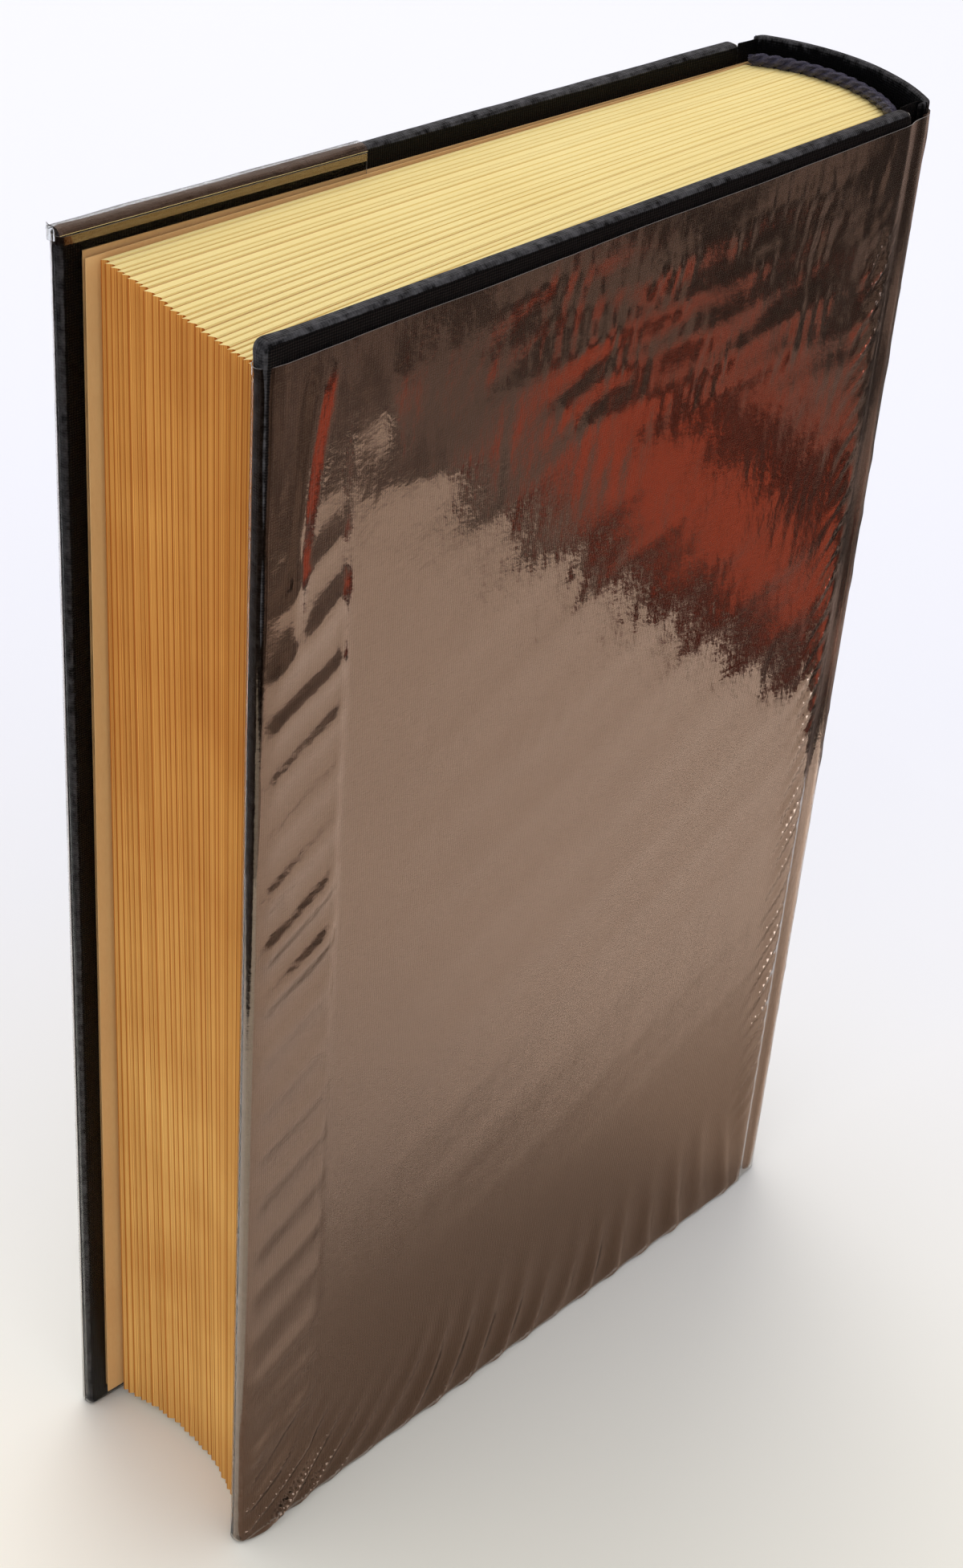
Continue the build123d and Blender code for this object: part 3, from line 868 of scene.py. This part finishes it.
def spine_place(t, depth, z):
    """Point at share t, from -1 at the front shoulder to 1 at the back, so deep below the cloth's face."""
    angle = t * SPINE_ANGLE
    radius = SPINE_RADIUS - depth - 1.3 * np.clip((abs(t) - 0.90) / 0.10, 0, 1) ** 2
    return on_block(SPINE_RADIUS - SPINE_RISE - radius * np.cos(angle), radius * np.sin(angle), z)


turn = np.linspace(0, pi, 9)
profile = [(2 * FOLD, FOLD_DEEP), (2 * FOLD, 4.0)]
profile += [(FOLD + FOLD * cos(a), FOLD - FOLD * sin(a)) for a in turn]
profile += [(0.0, z) for z in np.linspace(4, HEIGHT - 4, 60)]
profile += [(FOLD - FOLD * cos(a), HEIGHT - FOLD + FOLD * sin(a)) for a in turn]
profile += [(2 * FOLD, HEIGHT - 4), (2 * FOLD, HEIGHT - FOLD_DEEP)]
profile = np.array(profile)
share = runs((-1, -0.9, 7), (-0.864, 0.864, 49), (0.9, 1, 7))[:, None]
rough_edge = 0.05 * soft_noise(share * 18, profile[None, :, 1], 5, 44)
face = spine_place(share, profile[None, :, 0] + rough_edge, profile[None, :, 1])
# the other face of the cloth lies a thickness deeper, inside the fold
tangent = np.gradient(profile, axis=0)
tangent /= np.linalg.norm(tangent, axis=1)[:, None]
inside = profile + np.stack([tangent[:, 1], -tangent[:, 0]], -1) * CLOTH
lining = spine_place(share * 0.995, inside[None, :, 0] + rough_edge, inside[None, :, 1])
spine = outward(make_piece("spine_book_cloth", *shell(face, lining), book_cloth))
height_mm = np.array([v.co.z for v in spine.data.vertices]) / MM
# the rims at head and tail count as rubbed: worn cloth with painted glints
worn_and_glinting = np.maximum(smooth_step(height_mm, HEIGHT - 1.2, HEIGHT - 0.2), smooth_step(height_mm, 1.2, 0.2))
keep_number(spine, "rubbed_and_glinting", worn_and_glinting)
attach(spine, "block")
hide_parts("spine_cloth")
print("spine cloth:", len(spine.data.polygons), "faces")

# %% [markdown]
# ## Film jacket
# The film was wrapped round the book by hand. It lies tight over the boards, but it has
# creased: slanted tucks along the fore-edge, a fan of folds along the tail, short puckers
# along the joint, and fine crinkles near the head. All of these are real relief, made as a
# height over the cover, because they are what the reflections show. Each kind of crease has
# its own function of (u, z), which gives its height in mm and fades out where it ends.

# %% Relief at the edges of the film
def tucks(phase, sharpness=1.6):
    """Rounded ridges, one for each whole number of the phase."""
    return (0.5 + 0.5 * np.cos(2 * pi * phase)) ** sharpness


def in_patches(noise_value, level):
    """Noise raised to a level and kept between 0 and 1, so that creases come and go."""
    return np.clip(level + noise_value, 0, 1)


def fore_edge_tucks(u, z):
    """Slanted tucks beside the fore-edge, deeper in the lower half of the book."""
    ridges = tucks((z + 0.55 * (u - 124) + 1.6 * soft_noise(u * 0.3, z, 14, 7)) / 9.2)
    strength = 0.35 + 0.65 * in_patches(0.8 * soft_noise(0 * u, z, 11, 8), 0.5)
    deep = 0.42 + 0.26 * smooth_step(z, 150, 120)
    beside_edge = smooth_step(u, 110.0, 112.5) * smooth_step(u, U_FORE, 122.5)
    return beside_edge * (0.10 + deep * ridges * strength * smooth_step(z, 196, 170))


def long_creases(u, z):
    """A straight crease along the tucks' inner end, and one long bowed tuck near the head."""
    straight = np.exp(-((u - 111.0 - 0.25 * soft_noise(0 * u, z, 9, 9)) / 0.45) ** 2)
    bowed = np.exp(-((u - 120.8 + 0.0026 * (z - 165) ** 2) / 1.9) ** 2)
    straight_part = smooth_step(z, 12, 50) * smooth_step(z, 180, 165)
    bowed_part = smooth_step(z, 160, 174) * smooth_step(z, 209, 203)
    return 0.22 * straight * straight_part + 0.5 * bowed * bowed_part


def tail_fan(u, z):
    """A fan of folds that rise from the tail."""
    slant = np.interp(u, [0, 15, 80, 124], [-0.25, -0.10, 0.45, 1.5])
    fan = tucks((u + slant * z + 1.5 * soft_noise(u, z, 16, 12)) / 7.6, 2.0)
    strength = 0.3 + 0.7 * in_patches(0.9 * soft_noise(u, 0 * z, 10, 13), 0.6)
    reach = 15 + 5 * soft_noise(u, 0 * z, 12, 14)
    near_tail = np.exp(-(z / reach) ** 2) * smooth_step(z, -1, 3)
    return 1.15 * fan * strength * near_tail * smooth_step(u, 1, 8)


def joint_puckers(u, z):
    """Short slanted puckers beside the joint."""
    pucker = tucks((z + 1.15 * (u - 3) + 1.2 * soft_noise(u, z, 8, 15)) / 5.3, 1.8)
    along_joint = np.exp(-((u - 5.0) / 3.2) ** 2) * smooth_step(z, 8, 30) * smooth_step(z, 205, 185)
    return 0.70 * pucker * along_joint * (0.45 + 0.55 * in_patches(soft_noise(u, z, 13, 16), 0.5))


sample_u, sample_z = np.meshgrid(np.linspace(0, 124, 60), np.linspace(0, 210, 90), indexing="ij")
for crease in (fore_edge_tucks, long_creases, tail_fan, joint_puckers):
    print(crease.__name__, "stand up to", round(float(crease(sample_u, sample_z).max()), 2), "mm proud")

# %% [markdown]
# Over the flat of the cover the film is crinkled too, but only by hundredths to tenths of a millimetre:
# upright crinkles and level bands near the head, faint ones in the middle, and long slanting streaks from the
# way it was pulled. A few bumps are listed one by one. The front cover's film lies a little smoother than the
# back cover's.

# %% Relief over the flat of the covers
BUMPS = [(106, 200, 5, 6, 0.30), (117, 172, 4.5, 8, 0.34), (119.5, 128, 1.2, 1.5, 0.20),
         (12, 196, 7, 9, 0.35), (20, 205, 9, 3, 0.2), (97, 186, 9, 4, 0.16)]


def head_crinkles(u, z):
    """Upright crinkles crossed by level bands, near the head on the spine's side."""
    crinkle = tucks((u + 0.12 * z + 1.1 * soft_noise(u, z, 7, 17)) / 3.1, 1.4)
    crinkle = crinkle * in_patches(1.1 * soft_noise(u, z, 5.5, 18), 0.35)
    bands = tucks((z + 0.10 * u + 1.4 * soft_noise(u, z, 12, 19)) / 6.5, 1.3)
    near_head = smooth_step(z, 158 + 0.25 * u, 184 + 0.12 * u) * smooth_step(z, 210, 205)
    return near_head * smooth_step(u, 95, 66) * (0.20 * crinkle + 0.10 * bands)


def middle_crinkles(u, z):
    """Faint upright crinkles over the middle and upper part."""
    crinkle = tucks((u + 0.2 * z + 1.8 * soft_noise(u, z, 9, 22)) / 3.6)
    over = smooth_step(z, 110 - 0.2 * u, 135) * smooth_step(u, 104, 92)
    return 0.06 * over * crinkle * in_patches(soft_noise(u, z, 8, 23), 0.3)


def streaks(u, z):
    """Long slanting streaks."""
    broad = tucks((z + 0.42 * u + 3 * soft_noise(u, z, 40, 24)) / 15)
    fine = tucks((z + 0.42 * u + 2.5 * soft_noise(u, z, 25, 25)) / 6.2)
    return (0.09 * broad + 0.022 * fine) * smooth_step(u, 108, 80) * smooth_step(z, 20, 45)


def back_relief(u, z):
    """How far the film stands off the back cover, in mm."""
    kinds = (fore_edge_tucks, long_creases, tail_fan, joint_puckers, head_crinkles, middle_crinkles, streaks)
    height = sum(kind(u, z) for kind in kinds)
    for bump_u, bump_z, wide, tall, rise in BUMPS:
        height += rise * np.exp(-((u - bump_u) / wide) ** 2 - ((z - bump_z) / tall) ** 2)
    return height + 0.05 * (1 + soft_noise(u, z, 30, 3))


def front_relief(u, z):
    """The front cover's film, which lies a little smoother."""
    fore = smooth_step(u, 111, 114) * smooth_step(u, 125.2, 122.5)
    height = fore * (0.08 + 0.3 * tucks((z + 0.5 * (u - 124) + 2 * soft_noise(u, z, 14, 51)) / 11))
    slant = np.interp(u, [0, 60, 124], [-0.9, 0.1, 1.1])
    fan = tucks((u + slant * z + 2 * soft_noise(u, z, 16, 52)) / 8.0, 2.0)
    height += 0.42 * fan * np.exp(-(z / 14) ** 2) * smooth_step(z, -1, 3) * smooth_step(u, 1, 8)
    pucker = tucks((z + 1.0 * (u - 3) + 1.5 * soft_noise(u, z, 8, 53)) / 6.0, 1.8)
    height += 0.28 * pucker * np.exp(-((u - 5) / 3.2) ** 2) * smooth_step(z, 8, 30) * smooth_step(z, 205, 185)
    height += 0.05 * tucks((z + 0.3 * u + 4 * soft_noise(u, z, 40, 54)) / 17)
    return height + 0.05 * (1 + soft_noise(u, z, 30, 55))


for relief in (back_relief, front_relief):
    print(relief.__name__, "on average", round(float(relief(sample_u, sample_z).mean()), 2), "mm")

# %% [markdown]
# Each cover's film is one grid: it starts at the spine's shoulder, bridges the joint, lies
# on the board, goes round the fore-edge and ends as a flap behind the board. The grid is
# finer where the creases are. Round the fore-edge the film turns tightly at the tail, and
# towards the head the back cover's film stands off the board in a wide soft roll.

# %% The way of the film round a cover
ARC = np.linspace(0, pi, 17)[1:-1]
FLAP_POINTS, STAND_OFF = 36, 0.28
ROLL_FROM, FACE_END = 118.0, 123.6
TURN_RADIUS, ROLL_WIDER, ROLL_OUT = 1.03, 1.6, 0.25


def round_the_edge(u, z, is_arc, roll):
    """Moves the film's points at the fore-edge: a tight turn where roll is 0, a wide one where it is 1."""
    outermost = U_FORE + STAND_OFF + ROLL_OUT * roll
    outer_half = ARC[:, None] < pi / 2
    radius = np.where(outer_half, TURN_RADIUS + ROLL_WIDER * roll, TURN_RADIUS + ROLL_OUT * roll)
    turned = outermost - radius + radius * np.sin(ARC)[:, None]
    u = np.broadcast_to(u[:, None], z.shape).copy()
    face = (np.arange(len(u)) < np.argmax(is_arc))[:, None] & (u > ROLL_FROM)
    face_end = outermost - 1.88 - ROLL_WIDER * roll
    u = np.where(face, ROLL_FROM + (u - ROLL_FROM) * (face_end - ROLL_FROM) / (FACE_END - ROLL_FROM), u)
    u[is_arc] = turned
    return u


def film_path():
    """Along the film: arrays of u, v of the flat shape, and how much relief it carries."""
    v_out, v_flap = V_FILM, V_PASTE - FILM
    u = [-2.35, -2.0, -1.5, -0.9, 0.0, 0.9, 1.6, 2.2]
    v = [-1.30, -1.18, -1.10, -1.06, -1.04, -0.98, -0.86, -0.68]
    relief = [0, 0, 0, 0, 0, 0, 0, 0.1]
    face = np.concatenate([np.linspace(2.8, 12, 13), np.linspace(12, 108, 105)[1:],
                           np.linspace(108, FACE_END, 24)[1:]])
    u += face.tolist()
    v += [v_out] * len(face)
    relief += smooth_step(face, 2.2, 4.5).tolist()
    r = (v_out - v_flap) / 2
    u += [U_FORE + STAND_OFF] * len(ARC)
    v += [v_out - r + r * cos(a) for a in ARC]
    relief += [0.15 * max(0, cos(a)) for a in ARC]
    flap = np.linspace(123.2, U_FLAP, FLAP_POINTS)
    u += flap.tolist()
    v += [v_flap] * len(flap)
    relief += [-0.25] * len(flap)
    return np.array(u), np.array(v), np.array(relief)


print("points along the film:", len(film_path()[0]))

# %% [markdown]
# The front cover's flap is sealed over the board's head edge, like a pocket. The seal is a
# narrow arched strip, and at the corner, where it ends, a small loop of film sticks out.

# %% Seal at the head of the front cover
SEAL_LOW, SEAL_RISE = 211.38, 0.98


def head_lap(side):
    """The strip of film sealed over the head edge of a cover."""
    u = np.linspace(U_FLAP + 0.02, U_FORE + 0.2, 90)[:, None]
    a = np.linspace(-0.12, pi + 0.12, 17)[None, :]
    middle, half = (V_FILM + V_PASTE - FILM) / 2, (V_FILM - V_PASTE + FILM) / 2 + 0.10
    rise = SEAL_RISE * np.abs(np.sin(a)) ** 0.7
    buckle = 0.16 * soft_noise(u, 6 * np.cos(a), 7, 63) + 0.22 * soft_noise(u, 0 * a, 16, 64)
    v = middle + half * np.cos(a) + 0 * u
    z = SEAL_LOW + rise * (1 + 0.35 * buckle) + 0.1 * buckle * (np.sin(a) > 0.4)
    column = np.broadcast_to(u, z.shape)
    outer = on_cover(side, column, v, z)
    inner = on_cover(side, column, middle + (v - middle) * 0.93, z - 0.1)
    return shell(outer, inner)


def corner_ear(side):
    """A small loop of film that sticks out at the corner, where the seal ends."""
    t = np.linspace(0, 1, 14)[:, None]
    s = np.linspace(0, 1, 6)[None, :]
    u = U_FORE + 0.15 + 0.95 * np.sin(pi * t * 0.8) * (1 - 0.2 * s)
    v = -0.6 - 2.4 * t + 0.2 * s
    z = 210.9 + 1.5 * s + 0.5 * np.sin(pi * t) * s
    return shell(on_cover(side, u, v, z), on_cover(side, u - 0.1, v, z))


print("seal and loop:", len(head_lap("front")[1]) + len(corner_ear("front")[1]), "faces")

# %% [markdown]
# Now the film itself. Its outer face follows the path plus the relief, and its other face
# lies a film's thickness towards the board. The two faces of the flap get the finish of
# pressed-on film, except at the seal, and the rim gets the finish of a cut edge.

# %% Film over both covers
FILM_LOW, FILM_TOP, LAP_TOP, SEALED_FROM = 0.6, 210.0, 211.3, 0.993
CLEAR, PRESSED, CUT = 0, 1, 2


def film_heights(side, u, rows, wrapped):
    """z of every point of the grid: the film's cut ends aren't quite straight."""
    if side == "back":
        top = FILM_TOP + 0.2 - 1.5 * np.clip(u, 0, U_FORE) / U_FORE
    else:
        top = np.where((u >= U_FLAP - 0.5) | wrapped, LAP_TOP, FILM_TOP)
    low = FILM_LOW + 0.12 * soft_noise(u, 0 * u, 9, 61)
    z = low[:, None] + (top - low)[:, None] * rows[None, :]
    uneven = 0.18 * soft_noise(u, 0 * u, 14, 62) * (side == "back")
    return z + uneven[:, None] * rows[None, :] ** 8


def film_finishes(rows, columns, first_flap, spare_faces):
    """Which finish each face gets, in the order in which shell makes the faces."""
    in_column = len(rows) - 1
    place = np.arange((columns - 1) * in_column)
    sealed = rows[place % in_column] > SEALED_FROM
    one_face = np.where((place // in_column >= first_flap) & ~sealed, PRESSED, CLEAR)
    rim = np.full(2 * (columns + len(rows)) - 4, CUT)
    spare = np.full(spare_faces - 2 * len(place) - len(rim), CLEAR)
    return np.concatenate([one_face, one_face, rim, spare])


def jacket(side):
    """The film over one cover, round its fore-edge and in to the end of the flap."""
    u, v, relief = film_path()
    rows = np.concatenate([np.linspace(0, 0.18, 46), np.linspace(0.18, 1, 150)[1:]])
    last_face = len(u) - FLAP_POINTS - len(ARC)
    position = np.arange(len(u))
    z = film_heights(side, u, rows, position >= last_face)
    height = (back_relief if side == "back" else front_relief)(u[:, None], z)
    # behind the board the relief is pressed nearly flat, and it stands off the other way
    share = np.where(relief >= 0, relief, 0.3 * relief)[:, None]
    outer_v = v[:, None] + share * height
    is_arc = (position >= last_face) & (position < last_face + len(ARC))
    roll = smooth_step(z[len(u) // 2], 108, 190) if side == "back" else 0 * rows
    around = round_the_edge(u, z, is_arc, roll[None, :])
    du, dv = np.gradient(around, axis=0), np.gradient(v)[:, None]
    length = np.hypot(du, dv)
    outer = on_cover(side, around, outer_v, z)
    inner = on_cover(side, around + FILM * dv / length, outer_v - FILM * du / length, z)
    parts = [shell(outer, inner)]
    if side == "front":
        parts += [head_lap(side), corner_ear(side)]
    points, faces = gather(parts)
    kind = film_finishes(rows, len(u), last_face + len(ARC) // 2, len(faces))
    finishes = [clear_film, pressed_film, cut_edge]
    piece = outward(make_piece(f"{side}_jacket_film", points, faces, finishes, kind, sharp=60))
    bend_with_cover(piece, side)
    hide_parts(f"jacket_{side}")
    return piece


for side in ("front", "back"):
    piece = jacket(side)
    print(side, "jacket film:", len(piece.data.polygons), "faces")

# %% [markdown]
# Over the spine the film is tight at the shoulders and stands off a little between them,
# with a few shallow slanting tucks.

# %% Film over the spine
share = np.concatenate([np.linspace(-1, -0.9, 9), np.linspace(-0.9, 0.9, 60)[1:-1],
                        np.linspace(0.9, 1, 9)])[:, None]
z = np.linspace(FILM_LOW, FILM_TOP + 0.2, 150)[None, :]
slanting = tucks((z + 14 * share) / 13 + 0.4 * soft_noise(share * 17, z, 20, 72), 3)
stand = 0.16 + 0.10 * (1 + soft_noise(share * 17, z, 9, 71)) + 0.16 * slanting
stand = stand * (0.5 + 0.5 * smooth_step(1 - abs(share), 0, 0.08))
faces_of_film = spine_place(share, -stand, z), spine_place(share, -stand + FILM, z)
film = outward(make_piece("spine_jacket_film", *shell(*faces_of_film), clear_film, sharp=60))
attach(film, "block")
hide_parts("jacket_spine")
print("spine film:", len(film.data.polygons), "faces")

# %% [markdown]
# ## Pieces kept from the construction model
# The boards, the card in the spine and the linings of the back already have the right
# shape, and almost all of them is hidden. They only need their finishes.

# %% Finishes for kept pieces
kept_finishes = {"front_board": greyboard, "back_board": greyboard, "spine_stiffener": spine_card,
                 "spine_gauze": gauze, "spine_lining": lining_paper}
for name, finish in kept_finishes.items():
    node = frame["nodes"][name]
    node.data.materials.clear()
    node.data.materials.append(finish)
print("kept as they are:", ", ".join(kept_finishes))

# %% [markdown]
# ## Studio
# A pale floor, a soft white sky and one large light on the front cover's side. Round the book the floor is
# painted lighter and warmer, as painted light that lifts the shade there. The film mirrors whatever is round
# it, and in a white room its creases would hardly show. Photographers put up cards for that, which they call
# flags. Here are a brown one with a rust-red spot on the spine's side, a second brown one and a dark one
# beyond the back cover, a dark one by the fore-edge, a grey-brown one above and a warm one on the floor,
# which has a painted shadow of the book at its foot. Only reflections see them.

# %% Cards and flags
CARD_GRID = 90


def painted_card(name, corner, side_a, side_b, base, spot=None, place=(0.3, 0.2), wide=0.2, mottle=0.0):
    """A card with one soft-edged spot; place and wide are shares of its sides, mottle darkens patches."""
    a, b = np.meshgrid(np.linspace(0, 1, CARD_GRID), np.linspace(0, 1, CARD_GRID), indexing="ij")
    points = np.array(corner) + a[..., None] * np.array(side_a) + b[..., None] * np.array(side_b)
    paint = new_finish(f"{name}_paint", base, 0.9)[0]
    piece = make_piece(name, points, grid_faces(CARD_GRID, CARD_GRID), paint)
    wide = np.broadcast_to(wide, 2)
    tint = np.exp(-(((a - place[0]) / wide[0]) ** 2 + ((b - place[1]) / wide[1]) ** 2) ** 2)[..., None]
    colours = np.array(base) * (1 - tint) + np.array(spot or base) * tint
    patches = smooth_step(soft_noise(a, 2.2 * b, 0.075, 80), -0.35, 0.35)
    colours = colours * (1 - mottle * patches)[..., None]
    colours = np.concatenate([colours, np.ones_like(tint)], -1)
    layer = piece.data.color_attributes.new("paint", "FLOAT_COLOR", "POINT")
    layer.data.foreach_set("color", colours.astype(np.float32).ravel())
    painted = add(paint, "ShaderNodeVertexColor", layer_name="paint").outputs[0]
    join(paint, painted, paint.node_tree.nodes["Principled BSDF"], "Base Color")
    return piece


def flag(*values, **more):
    """A card that only reflections can see."""
    piece = painted_card(*values, **more)
    piece.visible_camera = piece.visible_diffuse = piece.visible_shadow = False


UP_HALF, UP_THIRD = (0, 0, 0.5), (0, 0, 0.3)
NEARLY_BLACK = (0.03, 0.02, 0.017)
# painted light: the warm spot round the book lightens the floor where the book's shade falls
painted_card("floor", (-4, -4, 0), (8, 0, 0), (0, 8, 0), base=(0.81, 0.80, 0.84),
             spot=(1.0, 0.94, 0.78), place=(0.5275, 0.5275), wide=0.045)
flag("brown_flag", (-0.19, -0.10, 0), (0, 0.80, 0), UP_HALF, base=(0.37, 0.26, 0.21),
     spot=(0.95, 0.17, 0.08), place=(0.316, 0.074), wide=(0.062, 0.108), mottle=0.8)
flag("dark_flag", (0.19, -0.60, 0), (0, 1.2, 0), UP_HALF, base=NEARLY_BLACK)
flag("second_dark_flag", (0.05, 0.240, 0), (0.14, 0, 0), UP_THIRD, base=NEARLY_BLACK)
flag("second_brown_flag", (-0.19, 0.256, 0), (0.24, 0, 0), UP_THIRD, base=(0.36, 0.25, 0.20), mottle=0.5)
# painted shadow: the dark spot at the book's foot stands for the book's shadow on the floor, seen in the film
flag("warm_floor_card_painted_shadow", (-0.40, 0.0205, 0.0005), (0.49, 0, 0), (0, 0.30, 0), base=(1.0, 0.77, 0.61),
     spot=(0.55, 0.38, 0.27), place=(0.8, 0.0), wide=(0.8, 0.14))
flag("ceiling_flag", (-2, -2, 0.9), (4, 0, 0), (0, 4, 0), base=(0.42, 0.33, 0.27))
print("floor and six flags placed")

# %% [markdown]
# The sky lights the book evenly from all sides. One large soft lamp gives the shadows a
# direction.

# %% Sky and lamp
world = bpy.data.worlds.new("sky")
bpy.context.scene.world = world
world.use_nodes = True
world.node_tree.nodes["Background"].inputs[0].default_value = (0.93, 0.95, 1.0, 1)
world.node_tree.nodes["Background"].inputs[1].default_value = 1.0


def soft_light(name, place, target, size, watts, colour):
    """A round lamp so many metres wide, turned to its target."""
    data = bpy.data.lights.new(name, "AREA")
    data.shape, data.size, data.energy, data.color = "DISK", size, watts, colour
    light = bpy.data.objects.new(name, data)
    bpy.context.scene.collection.objects.link(light)
    light.location = place
    light.rotation_mode = "QUATERNION"
    light.rotation_quaternion = (Vector(target) - Vector(place)).to_track_quat("-Z", "Y")


soft_light("window", (-0.5, -0.7, 1.3), (0, 0, 0.1), 1.0, 6, (1.0, 0.98, 0.95))
print("lamps:", len(bpy.data.lights))
